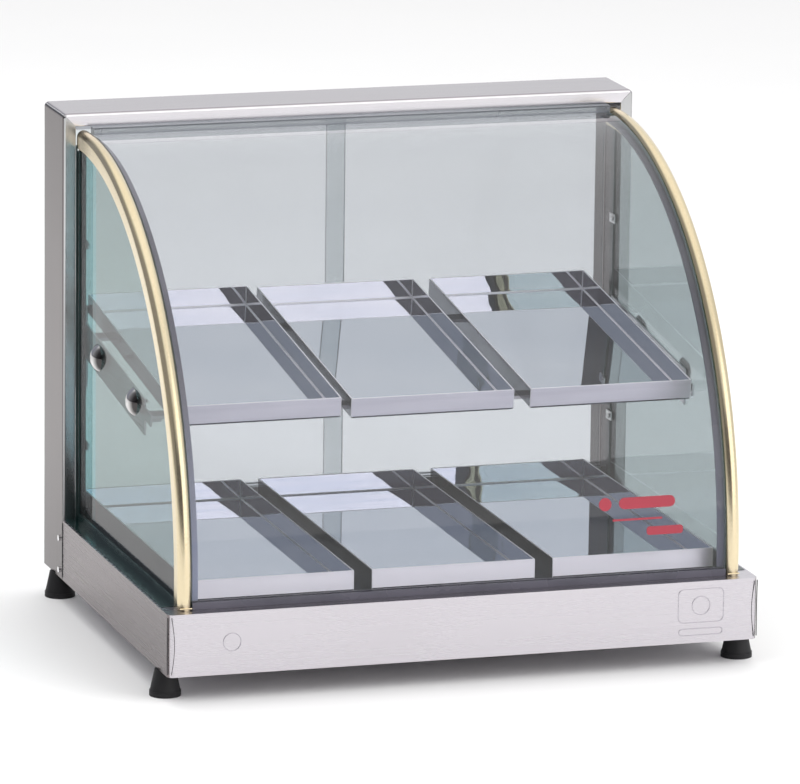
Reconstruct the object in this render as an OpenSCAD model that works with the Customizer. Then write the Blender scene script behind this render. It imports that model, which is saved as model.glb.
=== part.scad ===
// Heated countertop bakery display case: curved front glass, two rows of trays, sliding rear doors.
// Frame: +X to the right, +Y to the rear (the customer looks along +Y), +Z up.
// The origin is on the countertop, under the middle of the case.

/* [Case] */
// Width over the base and the rear frame
case_w = 640; // [560:1:720]
// Depth from the base front to the rear face of the frame
case_d = 510; // [500:1:540]
// Height of the rear frame above the underside of the base
frame_h = 510; // [500:1:540]
// Thickness of the folded stainless sheet
sheet_t = 1.2; // [0.8:0.1:1.5]

/* [Base] */
// Height of the base box
base_h = 66; // [62:1:74]
// Height of the rubber feet
foot_h = 28; // [24:1:36]
// Radius of the foot at its rim
foot_r = 16.5; // [14:0.5:18]
// Distance of a foot centre from the side of the base
foot_side = 8; // [7.5:0.5:9]
// Distance of a foot centre from the front and rear faces
foot_end = 40; // [36:1:60]
// Radius of the bend at the front corners
corner_r = 7; // [3:0.5:10]

/* [Rear frame] */
// Width of the frame section seen from the front
post_w = 14; // [13.5:0.5:16]
// Depth of the frame section
post_d = 82; // [78:1:86]

/* [Glass] */
// Outer radius of the curved front glass
glass_r = 400; // [398:1:402]
// Thickness of the front and side glasses
glass_t = 5; // [4:0.5:5]
// Thickness of the sliding door glasses
door_t = 4; // [3:0.5:4]
// Width of each glass edge cover
trim_w = 15; // [14:0.5:16]
// Radial depth of each glass edge cover
trim_depth = 19; // [17:0.5:21]
// Width of the dark seal beside each edge cover
seal_w = 7.5; // [6:0.5:12]

/* [Trays] */
// Width of one tray
tray_w = 178; // [160:1:178]
// Height of a tray wall
tray_h = 22.5; // [18:0.5:24]
// Length of an upper tray
upper_len = 360; // [340:1:361]
// Length of a lower tray
lower_len = 425; // [400:1:428]
// Downward slope of the upper shelf towards the customer, in degrees
shelf_tilt = 7.5; // [5:0.5:8]
// How far the left upper tray is pushed back
tray_shift = 5; // [0:0.5:5]

/* [Controls] */
// Diameter of the thermostat knob
knob_d = 34; // [28:1:38]
// Throw of the rocker switch, in degrees
rocker_throw = 20; // [16:1:20]

/* [Hidden] */
$fn = 64;
eps = 0.01;
gap = 0.3;

// Main planes
front_y = -case_d / 2;
rear_y = case_d / 2;
base_z = foot_h;
rim_z = foot_h + base_h;
deck_t = 1;
deck_z = rim_z + deck_t + 0.05;
top_z = foot_h + frame_h;
side_x = case_w / 2;
frame_y = rear_y - post_d;
inner_x = side_x - post_w;

// Base
flange_w = 24;
front_ledge = 40;
side_ledge = 30;
cover_x = inner_x - 2.5;
panel_y = rear_y - 22;
foot_x = side_x - foot_side;
foot_y = case_d / 2 - foot_end;
bolt_r = 2;

// Curved glass: its axis runs along X
arc_y = frame_y - 10;
arc_z = rim_z + 22;
crown_r = glass_r + 4;
trim_out_x = inner_x - 1;
trim_in_x = trim_out_x - trim_w;
side_glass_out = inner_x - 2.8;
side_glass_in = side_glass_out - glass_t;
side_glass_r = crown_r - trim_depth + 8;
gasket_h = 9;
gasket_wall = 1.4;

// Doors
door_y_inner = rear_y - 34;
door_y_outer = rear_y - 20;
door_lap = 12.5;
door_side = 1.2;
door_bottom = deck_z + 3.5;
door_top = top_z - post_w - 3;
track_h = 12;
track_y0 = rear_y - 37;
track_y1 = rear_y - 11;
slot_w = door_t + 1;
pull_t = 6;
// How far the pulls sit below the middle of the doors
pull_drop = 40;

// Shelf plane: the underside of the upper trays
shelf_y = front_y + 112.7;
shelf_z = base_z + 234.6;
bracket_up = 9.6;
bracket_drop = 28;
bracket_t = 2;
bracket_y0 = front_y + 176;
bracket_y1 = frame_y - gasket_h - 0.5;
bar_w = 16;
bar_t = 4;
bar_front_y = front_y + 161;
bar_rear_y = front_y + 404;
bolt_points = [[front_y + 200, -0.5], [front_y + 344, -3.5]];
dome_r = 15;
dome_h = 8.5;

// Trays
tray_t = 1;
upper_pitch = 191.5;
upper_gap_shift = -4.3;
lower_pitch = 197;
lower_y = front_y + 46;

// Heater and controls
element_r = 4;
element_z = rim_z - 18;
element_y0 = front_y + 150;
element_y1 = front_y + 290;
element_x = 190;
control_z = base_z + 34;
knob_x = 215;
lamp_x = 172;
switch_x = 136;
gland_x = -240;
block_x = -150;

// ---------- shared shapes ----------

// Places children that are drawn about Z so that they turn about an axis along X
module about_x() {
    rotate([0, 90, 0]) children();
}

// Draws a 2D outline given in (Y, Z) as a plate from x0 to x1
module yz_plate(x0, x1) {
    translate([x0, 0, 0]) rotate([90, 0, 90]) linear_extrude(height = x1 - x0) children();
}

// Rectangle with four rounded corners
module rounded_rect(x0, y0, x1, y1, r) {
    translate([x0 + r, y0]) square([x1 - x0 - 2 * r, y1 - y0]);
    translate([x0, y0 + r]) square([x1 - x0, y1 - y0 - 2 * r]);
    for (x = [x0 + r, x1 - r], y = [y0 + r, y1 - r]) translate([x, y]) circle(r);
}

// Box between two opposite corners
module span(a, b) {
    translate(a) cube(b - a);
}

// Moves children from the shelf's own frame: Y along the slope from the front, Z square to it
module on_shelf() {
    translate([0, shelf_y, shelf_z]) rotate([shelf_tilt, 0, 0]) children();
}

// Distance along the slope at which the shelf plane passes a given Y
function along(y) = (y - shelf_y) / cos(shelf_tilt);

// Screw with a pan head; it points along +Z with the head's seat at z = 0
module pan_screw(r, len, head_r, head_h) {
    translate([0, 0, -head_h]) cylinder(r = head_r, h = head_h);
    translate([0, 0, -eps]) cylinder(r = r, h = len);
}

// Straight run of wire from a to b, square to the axes, with a small sleeve at each end
module wire(a, b, r) {
    d = b - a;
    side = 2 * r + 0.3;
    for (p = [a, b]) translate(p) cube(side, center = true);
    turn = d[0] != 0 ? [0, 90 * sign(d[0]), 0]
        : d[1] != 0 ? [-90 * sign(d[1]), 0, 0]
        : [d[2] > 0 ? 0 : 180, 0, 0];
    translate(a) rotate(turn) cylinder(r = r, h = norm(d));
}

// A wire that turns at each of its points
module wire_run(points, r) {
    for (i = [0:len(points) - 2]) wire(points[i], points[i + 1], r);
}

// ---------- base ----------

// Outline of the base box with bent front corners, drawn inset by d
module base_outline(d) {
    r = corner_r - d;
    translate([-side_x + d, front_y + corner_r]) square([case_w - 2 * d, frame_y - front_y - corner_r]);
    translate([-side_x + corner_r, front_y + d]) square([case_w - 2 * corner_r, corner_r]);
    for (s = [-1, 1]) translate([s * (side_x - corner_r), front_y + corner_r]) circle(r);
}

module base_shell() {
    color("silver")
    difference() {
        translate([0, 0, base_z]) linear_extrude(height = base_h) base_outline(0);
        translate([0, 0, base_z + sheet_t])
            linear_extrude(height = base_h - 2 * sheet_t) {
                base_outline(sheet_t);
                translate([-side_x + sheet_t, frame_y - 10]) square([case_w - 2 * sheet_t, 20]);
            }
        span([-side_x + side_ledge, front_y + front_ledge, rim_z - 5],
             [side_x - side_ledge, frame_y + 5, rim_z + 5]);
        span([-side_x + flange_w, front_y + flange_w, base_z - 5],
             [side_x - flange_w, frame_y + 5, base_z + 5]);
        for (s = [-1, 1]) translate([s * foot_x, -foot_y, base_z - 5]) cylinder(r = bolt_r + 0.3, h = 10);
        for (x = [-cover_x + 4, cover_x - 4], y = [front_y + 60, front_y + 380])
            translate([x, y, base_z - 5]) cylinder(r = 1.7, h = 10);
    }
}

module deck_plate() {
    x = side_glass_in - gasket_wall - 0.2;
    color("gainsboro")
    translate([0, 0, deck_z - deck_t]) {
        span([-x, front_y + 36, 0], [x, frame_y + eps, deck_t]);
        span([-inner_x + 0.4, frame_y, 0], [inner_x - 0.4, panel_y + sheet_t, deck_t]);
    }
}

module bottom_cover() {
    color("lightgray")
    difference() {
        span([-cover_x, front_y + 14, base_z + sheet_t], [cover_x, panel_y - 14, base_z + sheet_t + 1]);
        for (x = [-140:20:140]) {
            translate([x - 4, front_y + 200, base_z]) cube([8, 90, 5]);
        }
        for (x = [-cover_x + 4, cover_x - 4], y = [front_y + 60, front_y + 380])
            translate([x, y, base_z]) cylinder(r = 1.7, h = 5);
        for (x = [-1, 1] * 200)
            translate([x, panel_y - 18, base_z]) cylinder(r = 1.7, h = 5);
    }
}

module rear_panel() {
    color("silver")
    difference() {
        union() {
            span([-inner_x + 0.4, panel_y, base_z + 0.2], [inner_x - 0.4, panel_y + sheet_t, rim_z - 0.05]);
            span([-inner_x + 6, panel_y - 22, base_z + 0.2],
                 [inner_x - 6, panel_y + eps, base_z + sheet_t - 0.1]);
        }
        translate([knob_x, panel_y - 5, control_z]) rotate([-90, 0, 0]) cylinder(r = 5.2, h = 10);
        translate([lamp_x, panel_y - 5, control_z]) rotate([-90, 0, 0]) cylinder(r = 4.2, h = 10);
        span([switch_x - 9.8, panel_y - 5, control_z - 6.3], [switch_x + 9.8, panel_y + 5, control_z + 6.3]);
        translate([gland_x, panel_y - 5, control_z]) rotate([-90, 0, 0]) cylinder(r = 8.2, h = 10);
        for (x = [-180:12:-96]) span([x, panel_y - 5, control_z - 14], [x + 5, panel_y + 5, control_z + 14]);
        for (x = [-1, 1] * 200)
            translate([x, panel_y - 18, base_z - 2]) cylinder(r = 1.7, h = 5);
    }
}

// Pan head screws that hold the bottom cover to the base and to the rear panel
module cover_screws() {
    color("dimgray") {
        for (x = [-cover_x + 4, cover_x - 4], y = [front_y + 60, front_y + 380])
            translate([x, y, base_z - 0.1]) pan_screw(1.5, 6, 3, 1.8);
        for (x = [-1, 1] * 200) translate([x, panel_y - 18, base_z + 0.1]) pan_screw(1.5, 6, 3, 1.8);
    }
}

// Flared rubber foot with a pocket for its bolt head
module foot(sx, sy) {
    color([0.12, 0.12, 0.13])
    translate([sx * foot_x, sy * foot_y, 0])
    difference() {
        union() {
            cylinder(r = foot_r, h = 5.5);
            translate([0, 0, 5.5 - eps]) cylinder(r1 = foot_r - 0.7, r2 = 11, h = foot_h - 5.5 + eps);
        }
        translate([0, 0, -1]) cylinder(r = 6, h = 11);
        cylinder(r = bolt_r + 0.3, h = foot_h + 1);
    }
}

module foot_front_left() { foot(-1, -1); }
module foot_front_right() { foot(1, -1); }
module foot_rear_left() { foot(-1, 1); }
module foot_rear_right() { foot(1, 1); }

// Bolts up through the feet, each with a hexagonal nut above the sheet
module foot_bolts() {
    color("gray")
    for (sx = [-1, 1], sy = [-1, 1])
        translate([sx * foot_x, sy * foot_y, 0]) {
            translate([0, 0, 10]) pan_screw(bolt_r, foot_h - 10 + sheet_t + 6, 4.5, 2.6);
            translate([0, 0, base_z + sheet_t + 0.05]) difference() {
                cylinder(r = 4, h = 3, $fn = 6);
                translate([0, 0, -1]) cylinder(r = bolt_r + 0.04, h = 5);
            }
        }
}

// ---------- rear frame ----------

// Hollow frame section: outer size w by post_d, drawn in (X, Y) from the corner (x0, frame_y)
module section(x0, w) {
    difference() {
        rounded_rect(x0, frame_y, x0 + w, rear_y, 1.6);
        translate([x0 + sheet_t, frame_y + sheet_t]) square([w - 2 * sheet_t, post_d - 2 * sheet_t]);
    }
}

// Left post; its top is cut at 45 degrees for the mitre joint
module post() {
    difference() {
        union() {
            translate([0, 0, base_z]) linear_extrude(height = frame_h) section(-side_x, post_w);
            translate([0, 0, base_z]) linear_extrude(height = sheet_t)
                rounded_rect(-side_x, frame_y, -inner_x, rear_y, 1.6);
        }
        translate([-side_x, frame_y - 5, top_z]) rotate([0, 45, 0])
            translate([-40, 0, -0.05]) cube([80, post_d + 10, 40]);
        translate([-foot_x, foot_y, base_z - 5]) cylinder(r = bolt_r + 0.3, h = 10);
        for (z = [base_z + 9, base_z + 44])
            translate([-side_x - 5, frame_y + 12, z]) rotate([0, 90, 0]) cylinder(r = 1.7, h = 30);
    }
}

module rear_post_left() {
    color("silver") post();
}

module rear_post_right() {
    color("silver") mirror([1, 0, 0]) post();
}

// Top beam between the two mitres
module top_beam() {
    color("silver")
    difference() {
        translate([-side_x, 0, top_z]) rotate([0, 90, 0])
            linear_extrude(height = case_w) difference() {
                rounded_rect(0, frame_y, post_w, rear_y, 1.6);
                translate([sheet_t, frame_y + sheet_t]) square([post_w - 2 * sheet_t, post_d - 2 * sheet_t]);
            }
        for (s = [0, 1]) mirror([s, 0, 0])
            translate([-side_x, frame_y - 5, top_z]) rotate([0, 45, 0])
                translate([-40, 0, -39.95]) cube([80, post_d + 10, 40]);
    }
}

// Two screws through the foot of each post
module post_screws() {
    color("gray")
    for (s = [0, 1], z = [base_z + 9, base_z + 44]) mirror([s, 0, 0])
        translate([-side_x - 0.05, frame_y + 12, z]) rotate([0, 90, 0]) pan_screw(1.5, 16, 3.2, 1.9);
}

// ---------- doors ----------

// Two-groove track; the grooves open upwards
module track(h, floor_t) {
    difference() {
        span([-inner_x + 0.4, track_y0, 0], [inner_x - 0.4, track_y1, h]);
        for (y = [door_y_inner, door_y_outer])
            span([-side_x, y - 0.5, floor_t], [side_x, y - 0.5 + slot_w, h + 1]);
    }
}

module door_track_bottom() {
    color("darkgray") translate([0, 0, deck_z + 0.05]) track(track_h, 2.8);
}

module door_track_top() {
    color("darkgray") translate([0, 0, top_z - post_w - 0.05]) mirror([0, 0, 1]) track(track_h, 1.6);
}

// Sliding glass between x0 and x1, with ground corners
module door(x0, x1, y) {
    translate([0, y + door_t, 0]) rotate([90, 0, 0]) linear_extrude(height = door_t)
        rounded_rect(x0, door_bottom, x1, door_top - 1.5, 2);
}

module sliding_door_left() {
    color([0.75, 0.88, 0.86, 0.4]) door(-inner_x + door_side, door_lap, door_y_outer);
}

module sliding_door_right() {
    color([0.75, 0.88, 0.86, 0.4]) door(-door_lap, inner_x - door_side, door_y_inner);
}

// Finger pull with a hollow, on the rear face of a door
module pull(x, y) {
    z = (door_bottom + door_top) / 2 - pull_drop;
    color("silver")
    translate([x, y, z])
    difference() {
        span([-9, 0, -45], [9, pull_t, 45]);
        span([-5.5, 1.5, -40], [5.5, pull_t + 1, 40]);
    }
}

module door_pull_left() { pull(-inner_x + 22, door_y_outer + door_t + 0.02); }
module door_pull_right() { pull(inner_x - 22, door_y_inner + door_t + 0.02); }

// ---------- fixed glass, edge covers and seals ----------

// Keeps the part of a ring that stands in front of the frame and above the base rim
module display_quadrant() {
    intersection() {
        children();
        span([-side_x, front_y, rim_z + 0.1], [side_x, frame_y - 0.1, top_z - post_w - 0.1]);
    }
}

// Ring about the glass axis between two radii, from x0 to x1
module glass_ring(r0, r1, x0, x1) {
    translate([x0, arc_y, arc_z]) about_x() difference() {
        cylinder(r = r1, h = x1 - x0, $fn = 240);
        translate([0, 0, -1]) cylinder(r = r0, h = x1 - x0 + 2, $fn = 240);
    }
}

module front_glass() {
    color([0.8, 0.87, 0.9, 0.3])
    intersection() {
        glass_ring(glass_r - glass_t, glass_r, -trim_in_x + gap, trim_in_x - gap);
        span([-side_x, front_y, rim_z + 2], [side_x, frame_y - 0.1, top_z]);
    }
}

module side_glass() {
    difference() {
        yz_plate(-side_glass_out, -side_glass_in) intersection() {
            translate([arc_y, arc_z]) circle(side_glass_r, $fn = 240);
            translate([arc_y - side_glass_r, rim_z + gasket_wall + 0.3])
                square([frame_y - gasket_wall - 0.3 - arc_y + side_glass_r, 500]);
        }
        bolt_holes(bolt_r + 1);
    }
}

module side_glass_left() {
    color([0.55, 0.78, 0.75, 0.4]) side_glass();
}

module side_glass_right() {
    color([0.55, 0.78, 0.75, 0.4]) mirror([1, 0, 0]) side_glass();
}

// Half-round cover along the joint of the front glass and a side glass; a slot holds the side glass
module edge_trim() {
    display_quadrant()
    translate([0, arc_y, arc_z]) about_x() rotate_extrude($fn = 240)
    difference() {
        union() {
            translate([crown_r - trim_depth, -trim_out_x]) square([trim_depth - trim_w / 2, trim_w]);
            translate([crown_r - trim_w / 2, -trim_out_x + trim_w / 2]) circle(trim_w / 2);
        }
        translate([0, -side_glass_out - 0.2]) square([side_glass_r + 0.4, glass_t + 0.4]);
    }
}

module edge_trim_left() {
    color([0.86, 0.75, 0.45]) edge_trim();
}

module edge_trim_right() {
    color([0.86, 0.75, 0.45]) mirror([1, 0, 0]) edge_trim();
}

// Dark strip behind the front glass beside the edge cover
module edge_seal() {
    intersection() {
        glass_ring(glass_r - glass_t - 2.5, glass_r - glass_t - gap, -trim_in_x + gap,
             -trim_in_x + gap + seal_w);
        span([-side_x, front_y, rim_z + 8], [side_x, frame_y - 0.1, top_z]);
    }
}

module edge_seal_left() {
    color([0.25, 0.24, 0.28]) edge_seal();
}

module edge_seal_right() {
    color([0.25, 0.24, 0.28]) mirror([1, 0, 0]) edge_seal();
}

// Channel on the base rim that holds the lower edge of the front glass
module bottom_seal() {
    y0 = arc_y - sqrt(pow(glass_r, 2) - pow(arc_z - rim_z, 2)) - 2;
    color([0.2, 0.2, 0.22])
    difference() {
        span([-trim_in_x + gap, y0, rim_z + 0.05], [trim_in_x - gap, y0 + 10, rim_z + 7.5]);
        span([-side_x, y0 + 1.5, rim_z + 1.8], [side_x, y0 + 7.6, rim_z + 10]);
    }
}

// Filler between the upper edge of the front glass and the beam
module top_seal() {
    color([0.2, 0.2, 0.22])
    difference() {
        span([-trim_in_x + gap, frame_y - 13, arc_z + glass_r - 6],
             [trim_in_x - gap, frame_y - 0.1, top_z - post_w - 0.1]);
        translate([-side_x, arc_y, arc_z]) about_x() cylinder(r = glass_r + gap, h = case_w, $fn = 240);
    }
}

// U-shaped rubber round the lower and rear edges of a side glass
module side_gasket() {
    x0 = -side_glass_out - gasket_wall;
    x1 = -side_glass_in + gasket_wall;
    y0 = arc_y - crown_r + trim_depth + 2;
    z1 = arc_z + crown_r - trim_depth - 3;
    difference() {
        union() {
            span([x0, y0, rim_z + 0.05], [x1, frame_y - 0.1, rim_z + gasket_h]);
            span([x0, frame_y - gasket_h, rim_z + 0.05], [x1, frame_y - 0.1, z1]);
        }
        span([-side_glass_out - 0.1, y0 - 1, rim_z + gasket_wall],
             [-side_glass_in + 0.1, frame_y - gasket_wall, top_z]);
    }
}

module side_gasket_left() {
    color([0.15, 0.16, 0.17]) side_gasket();
}

module side_gasket_right() {
    color([0.15, 0.16, 0.17]) mirror([1, 0, 0]) side_gasket();
}

// Two small clips a side that hold the rear edge of the glass to the post
module glass_clips() {
    color("gainsboro")
    for (s = [0, 1], z = [base_z + 150, base_z + 370]) mirror([s, 0, 0])
        translate([-side_glass_in + gasket_wall + 0.05, frame_y - 16, z]) {
            span([0, 0, -5], [1.2, 15.9, 5]);
            translate([1.2 - eps, 5, 0]) rotate([0, 90, 0]) cylinder(r = 2.6, h = 1.6);
        }
}

// ---------- upper shelf ----------

// Left bracket: a sloping plate on the side glass with a short ledge under each bar
module bracket() {
    x1 = -side_glass_in + bracket_t + 0.05;
    v0 = along(bracket_y0);
    v1 = along(bracket_y1);
    difference() {
        union() {
            intersection() {
                on_shelf() span([-side_glass_in + 0.05, v0 - 60, -bracket_drop], [x1, v1 + 60, bracket_up]);
                union() {
                    span([-side_x, bracket_y0, 0], [0, bracket_y1, top_z]);
                    on_shelf() span([-side_x, along(bar_front_y) - 10, -11], [0, v0 + 5, 2]);
                }
            }
            for (y = [bar_front_y, bar_rear_y]) on_shelf()
                span([x1 - eps, along(y) - 10, -bar_t - 2], [x1 + 10, along(y) + 10, -bar_t - 0.02]);
        }
        bolt_holes(bolt_r + 0.5);
    }
}

// Holes or shafts at the two bolt points of the left bracket
module bolt_holes(r) {
    for (p = bolt_points) on_shelf()
        translate([-side_x, along(p[0]), p[1]]) rotate([0, 90, 0]) cylinder(r = r, h = 60);
}

module shelf_bracket_left() {
    color("darkgray") bracket();
}

module shelf_bracket_right() {
    color("darkgray") mirror([1, 0, 0]) bracket();
}

// Flat bar across the case, resting on the bracket ledges
module shelf_bar(y) {
    x = side_glass_in - bracket_t - 0.3;
    color("gray") on_shelf() span([-x, along(y) - bar_w / 2, -bar_t], [x, along(y) + bar_w / 2, -0.05]);
}

module shelf_bar_front() { shelf_bar(bar_front_y); }
module shelf_bar_rear() { shelf_bar(bar_rear_y); }

// Domed bolts: a large chromed dome outside each side glass, its shank passing the glass and the bracket
module bracket_bolts() {
    sphere_r = (pow(dome_r, 2) + pow(dome_h, 2)) / (2 * dome_h);
    color("gainsboro")
    for (s = [0, 1], p = bolt_points) mirror([s, 0, 0]) on_shelf()
        translate([-side_glass_out - 0.1, along(p[0]), p[1]]) rotate([0, -90, 0]) {
            intersection() {
                translate([0, 0, dome_h - sphere_r]) sphere(r = sphere_r);
                cylinder(r = dome_r + 2, h = dome_h + 1);
            }
            translate([0, 0, -glass_t - bracket_t - 8])
                cylinder(r = bolt_r, h = glass_t + bracket_t + 8 + eps);
        }
}

module bracket_nuts() {
    color("gray")
    for (s = [0, 1], p = bolt_points) mirror([s, 0, 0]) on_shelf()
        translate([-side_glass_in + bracket_t + 0.1, along(p[0]), p[1]]) rotate([0, 90, 0])
            difference() {
                cylinder(r = 4.6, h = 3.4, $fn = 6);
                translate([0, 0, -1]) cylinder(r = bolt_r + 0.04, h = 6);
            }
}

// ---------- trays ----------

// Folded tray with its front left lower corner at the origin
module tray(len) {
    difference() {
        cube([tray_w, len, tray_h]);
        translate([tray_t, tray_t, tray_t]) cube([tray_w - 2 * tray_t, len - 2 * tray_t, tray_h]);
    }
}

module upper_tray(x, shift) {
    color("whitesmoke") on_shelf() translate([x - tray_w / 2, shift, 0]) tray(upper_len);
}

module lower_tray(x) {
    color("whitesmoke") translate([x - tray_w / 2, lower_y, deck_z + 0.05]) tray(lower_len);
}

module upper_tray_left() { upper_tray(-upper_pitch, tray_shift); }
module upper_tray_middle() { upper_tray(upper_gap_shift, 0); }
module upper_tray_right() { upper_tray(upper_pitch, 0); }
module lower_tray_left() { lower_tray(-lower_pitch); }
module lower_tray_middle() { lower_tray(0); }
module lower_tray_right() { lower_tray(lower_pitch); }

// ---------- heater ----------

// U-shaped tubular element under the deck, with a terminal pin at each end
module heating_element() {
    r = (element_y1 - element_y0) / 2;
    color([0.35, 0.3, 0.28])
    translate([0, element_y0 + r, element_z]) {
        translate([element_x, 0, 0]) rotate([0, 0, -90])
            rotate_extrude(angle = 180) translate([r, 0]) circle(element_r);
        for (s = [-1, 1]) translate([-element_x, s * r, 0])
            rotate([0, 90, 0]) cylinder(r = element_r, h = 2 * element_x);
        for (s = [-1, 1]) translate([-element_x - 9, s * r, 0])
            rotate([0, 90, 0]) cylinder(r = 1.6, h = 9 + eps);
    }
}

// Straps that hang the element from the deck
module element_clips() {
    color("silver")
    for (x = [-140, 0, 140], y = [element_y0, element_y1])
        translate([x, y, element_z]) difference() {
            union() {
                rotate([0, 90, 0]) cylinder(r = element_r + 1.5, h = 10);
                span([0, -2, 0], [10, 2, rim_z - element_z]);
            }
            translate([-1, 0, 0]) rotate([0, 90, 0]) cylinder(r = element_r + 0.15, h = 12);
        }
}

// Reflector pan between the element and the bottom cover, on four folded legs
module heat_shield() {
    z0 = base_z + sheet_t + 1.05;
    z1 = base_z + 26;
    color("lightgray") {
        difference() {
            span([-250, front_y + 70, z1], [250, front_y + 390, z1 + 9]);
            span([-249, front_y + 71, z1 + 1], [249, front_y + 389, z1 + 10]);
        }
        for (x = [-240, 220], y = [front_y + 80, front_y + 365]) span([x, y, z0], [x + 20, y + 1, z1 + eps]);
    }
}

// ---------- controls ----------

module thermostat_body() {
    color([0.85, 0.82, 0.75])
    translate([knob_x, panel_y, control_z]) difference() {
        union() {
            span([-17, -30, -14], [17, -0.1, 14]);
            translate([0, -1, 0]) rotate([-90, 0, 0]) cylinder(r = 5, h = 4.4);
            for (x = [-10, 10]) span([x - 3, -36, -4], [x + 3, -30 + eps, -3.2]);
        }
        translate([0, -12, 0]) rotate([-90, 0, 0]) cylinder(r = 3.05, h = 20);
    }
}

// Sensing bulb under the deck, with its capillary
module thermostat_bulb() {
    z = rim_z - 5;
    y0 = front_y + 340;
    y1 = front_y + 446;
    color([0.72, 0.45, 0.3]) {
        translate([120, y0, z]) rotate([0, 90, 0]) cylinder(r = 3, h = 80);
        wire_run([[197, y0, z], [knob_x, y0, z], [knob_x, y1, z], [knob_x, y1, control_z + 12],
                  [knob_x, panel_y - 31.2, control_z + 12]], 0.9);
    }
}

module thermostat_shaft() {
    color("silver")
    translate([knob_x, panel_y - 10, control_z]) rotate([-90, 0, 0]) cylinder(r = 3, h = 23);
}

// Knob with a raised grip bar and a pointer groove; it is pushed onto the shaft
module thermostat_knob() {
    color([0.1, 0.1, 0.11])
    translate([knob_x, panel_y + 4.2, control_z]) rotate([-90, 0, 0])
    difference() {
        union() {
            cylinder(r = knob_d / 2, h = 4);
            translate([0, 0, 4 - eps]) cylinder(r = knob_d / 2 - 4, h = 5 + eps);
            span([-3.5, -knob_d / 2 + 3, 4 - eps], [3.5, knob_d / 2 - 3, 15]);
        }
        translate([0, 0, -1]) cylinder(r = 3.02, h = 10);
        span([-0.6, -knob_d / 2 - 1, 14.2], [0.6, -3, 17]);
    }
}

module switch_housing() {
    color([0.08, 0.08, 0.09])
    translate([switch_x, panel_y, control_z]) difference() {
        union() {
            span([-11.5, sheet_t + 0.05, -8], [11.5, sheet_t + 2, 8]);
            span([-9.5, -16, -6], [9.5, sheet_t + 0.1, 6]);
            for (x = [-5, 5]) span([x - 0.4, -22, -3], [x + 0.4, -16 + eps, 3]);
        }
        span([-9, -9, -5], [9, 10, 5]);
    }
}

// Rocker at its off position; it turns about an upright axis
module switch_rocker() {
    color([0.7, 0.08, 0.06])
    translate([switch_x, panel_y - 2.5, control_z]) rotate([0, 0, -rocker_throw / 2])
    translate([0, 0, -4.7]) linear_extrude(height = 9.4)
        polygon([[-7.4, 6.5], [0, 4.8], [7.4, 6.5], [7.2, 2], [2.5, -2.2], [-2.5, -2.2], [-7.2, 2]]);
}

module pilot_lamp() {
    color([0.9, 0.45, 0.1])
    translate([lamp_x, panel_y, control_z]) rotate([-90, 0, 0]) {
        translate([0, 0, -14]) cylinder(r = 4, h = 14 + sheet_t + 0.1);
        translate([0, 0, sheet_t + 0.05]) cylinder(r = 5.5, h = 1.2);
        intersection() {
            translate([0, 0, sheet_t - 2.5]) sphere(r = 6);
            translate([0, 0, sheet_t + 1]) cylinder(r = 4.5, h = 6);
        }
    }
}

// Connector strip on the bottom cover
module terminal_block() {
    z = base_z + sheet_t + 1.05;
    color([0.9, 0.88, 0.82])
    difference() {
        span([block_x - 24, panel_y - 56, z], [block_x + 24, panel_y - 40, z + 14]);
        for (i = [-1, 0, 1]) translate([block_x + 14 * i, panel_y - 48, z + 8]) cylinder(r = 2.6, h = 10);
        for (i = [-1, 0, 1]) translate([block_x + 14 * i, panel_y - 57, z + 4])
            rotate([-90, 0, 0]) cylinder(r = 1.6, h = 20);
    }
}

// Leads from the terminal block to the switch, the lamp, the thermostat and the element
module internal_wires() {
    r = 1.3;
    z = base_z + sheet_t + 6.05;
    back = panel_y - 66;
    color([0.65, 0.15, 0.12])
        wire_run([[block_x + 14, panel_y - 58, z], [block_x + 14, back, z], [switch_x - 5, back, z],
                  [switch_x - 5, back, control_z], [switch_x - 5, panel_y - 23.5, control_z]], r);
    color([0.2, 0.3, 0.6])
        wire_run([[block_x, panel_y - 58, z], [block_x, back - 8, z], [knob_x - 10, back - 8, z],
                  [knob_x - 10, back - 8, control_z - 3.6],
                  [knob_x - 10, panel_y - 37.5, control_z - 3.6]], r);
    color([0.85, 0.85, 0.82])
        wire_run([[block_x - 14, panel_y - 58, z], [block_x - 14, back - 16, z], [-262, back - 16, z],
                  [-262, element_y1, z], [-262, element_y1, element_z],
                  [-element_x - 10.5, element_y1, element_z]], r);
    color([0.3, 0.3, 0.3])
        wire_run([[-element_x - 10.5, element_y0, element_z], [-270, element_y0, element_z],
                  [-270, back - 24, element_z], [knob_x + 10, back - 24, element_z],
                  [knob_x + 10, back - 24, control_z - 3.6],
                  [knob_x + 10, panel_y - 37.5, control_z - 3.6]], r);
}

// Gland that closes the cable entry, empty
module cable_gland() {
    color([0.15, 0.15, 0.16])
    translate([gland_x, panel_y, control_z]) rotate([-90, 0, 0]) difference() {
        union() {
            translate([0, 0, -9]) cylinder(r = 8, h = 9 + sheet_t + 0.1);
            translate([0, 0, sheet_t + 0.05]) cylinder(r = 11, h = 5, $fn = 6);
            translate([0, 0, sheet_t + 5]) cylinder(r1 = 9, r2 = 6.5, h = 8);
            translate([0, 0, -8]) cylinder(r = 11, h = 7.9, $fn = 6);
        }
        translate([0, 0, -10]) cylinder(r = 4, h = 40);
    }
}

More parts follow.
